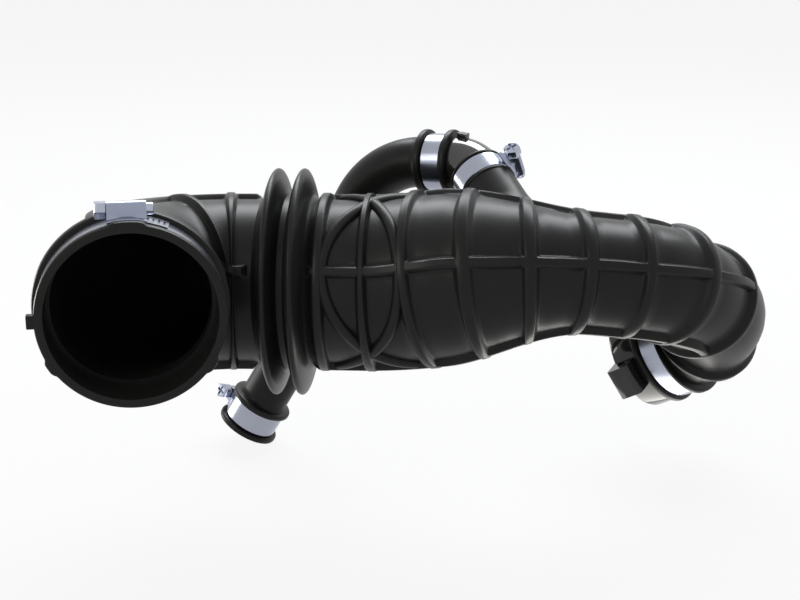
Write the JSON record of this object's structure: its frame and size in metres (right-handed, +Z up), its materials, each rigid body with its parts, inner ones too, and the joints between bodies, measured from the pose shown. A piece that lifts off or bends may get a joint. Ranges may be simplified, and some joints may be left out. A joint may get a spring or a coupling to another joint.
{
  "type": "air intake hose",
  "caption": "Ribbed rubber air intake hose with an elbow, a bellows and a hooked outlet, a plastic end connector and a clamped vent hose behind it.",
  "frame": {"origin": "centre of the inlet mouth, in the plane of the lip", "axes": "-Y points out of the inlet mouth, +X runs along the duct's longest extent, +Z is up as in the picture"},
  "size_m": [0.356, 0.1717, 0.1741],
  "materials": {
    "hose_rubber": "satin black moulded rubber with a soft sheen",
    "vent_rubber": "satin black extruded rubber",
    "elbow_plastic": "glossy black moulded plastic",
    "connector_plastic": "glossy black moulded plastic",
    "clamp_band": "bright rolled steel strip",
    "clamp_housing": "bright pressed steel",
    "clamp_screw": "plated steel"
  },
  "bodies": {
    "root": {"intake_hose": "hose_rubber", "vent_hose": "vent_rubber", "vent_elbow": "elbow_plastic", "outlet_connector": "connector_plastic", "inlet_clamp_band": "clamp_band", "inlet_clamp_housing": "clamp_housing", "inlet_clamp_screw": "clamp_screw", "outlet_clamp_band": "clamp_band", "outlet_clamp_housing": "clamp_housing", "outlet_clamp_screw": "clamp_screw", "stub_clamp_band": "clamp_band", "stub_clamp_housing": "clamp_housing", "stub_clamp_screw": "clamp_screw", "upper_clamp_band": "clamp_band", "upper_clamp_housing": "clamp_housing", "upper_clamp_screw": "clamp_screw", "lower_clamp_band": "clamp_band", "lower_clamp_housing": "clamp_housing", "lower_clamp_screw": "clamp_screw"}
  },
  "joints": []
}
